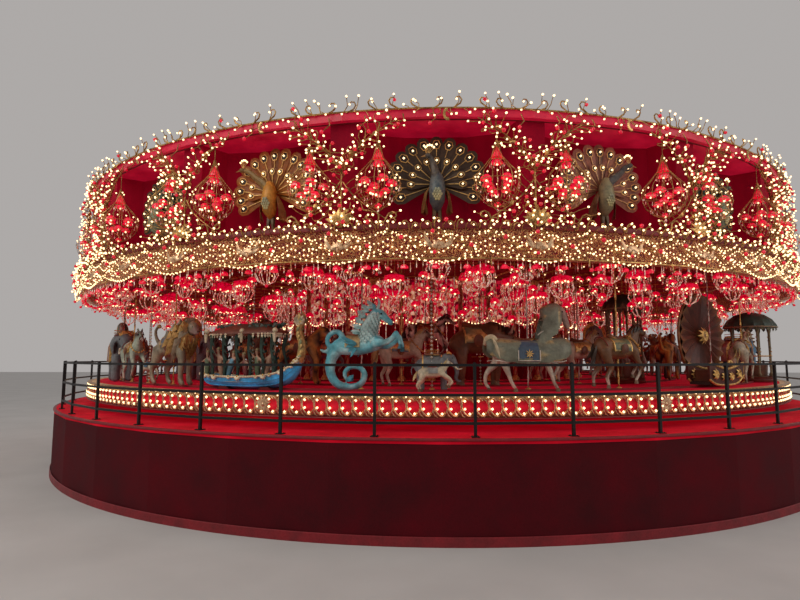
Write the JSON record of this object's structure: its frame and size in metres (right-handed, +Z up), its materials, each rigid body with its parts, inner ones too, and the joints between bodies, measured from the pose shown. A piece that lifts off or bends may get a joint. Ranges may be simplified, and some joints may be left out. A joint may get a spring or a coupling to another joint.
{
  "type": "fairground carousel on a round plinth",
  "caption": "Round carousel: a turning platform of carved animals under a crown of niches with birds and lit scrollwork, on a railed plinth.",
  "frame": {"origin": "on the turning axis, at the foot of the plinth", "axes": "+Z up along the turning axis, -Y towards the front, from where the picture is taken"},
  "size_m": [21.2352, 21.2352, 8.72],
  "materials": {
    "red_carpet": "short red pile",
    "black_rail": "semi-gloss black paint",
    "dark_steel": "dull dark paint",
    "rim_red": "gloss red panel with gilt scrolls and lamps",
    "crimson_wall": "deep crimson cloth",
    "crown_red": "satin red paint",
    "gilt": "worn gilding",
    "roof_red": "matt red panels",
    "painted_figures": "aged gloss paint in many colours",
    "bird_paint": "painted and gilded feathers",
    "cage_gilt": "gilt wire with red shades",
    "crystal_lamps": "crystal and red glass"
  },
  "bodies": {
    "base": {"plinth_wall": "red_carpet", "plinth_core": "red_carpet", "plinth_deck": "red_carpet", "king_post": "dark_steel", "guard_rail_1": "black_rail", "guard_rail_2": "black_rail", "guard_rail_3": "black_rail", "guard_rail_4": "black_rail", "rail_panel_right": "black_rail", "rail_panel_back": "black_rail", "rail_panel_left": "black_rail", "rail_panel_front": "black_rail"},
    "turntable": {"turntable_frame": "dark_steel", "turntable_deck": "red_carpet", "rim_skirt": "rim_red", "centre_drum": "crimson_wall", "canopy_ceiling": "crimson_wall", "crown_shelf": "crown_red", "crown_wall": "crimson_wall", "crown_cornice": "crown_red", "cornice_band": "gilt", "roof": "roof_red", "roof_mast": "dark_steel", "finial": "gilt", "outer_figures_01": "painted_figures", "outer_figures_02": "painted_figures", "outer_figures_03": "painted_figures", "outer_figures_04": "painted_figures", "outer_figures_05": "painted_figures", "outer_figures_06": "painted_figures", "outer_figures_07": "painted_figures", "outer_figures_08": "painted_figures", "outer_figures_09": "painted_figures", "outer_figures_10": "painted_figures", "outer_figures_11": "painted_figures", "outer_figures_12": "painted_figures", "middle_figures": "painted_figures", "inner_figures": "painted_figures", "birds_1": "bird_paint", "birds_2": "bird_paint", "birds_3": "bird_paint", "birds_4": "bird_paint", "cage_lanterns": "cage_gilt", "scrollwork_1": "gilt", "scrollwork_2": "gilt", "scrollwork_3": "gilt", "scrollwork_4": "gilt", "outer_chandeliers": "crystal_lamps", "middle_chandeliers": "crystal_lamps", "inner_chandeliers": "crystal_lamps"}
  },
  "joints": [
    {"name": "carousel_spin", "type": "hinge", "parent": "base", "child": "turntable", "pos_m": [0, 0, 1.7], "axis": [0, 0, 1], "continuous": true}
  ]
}
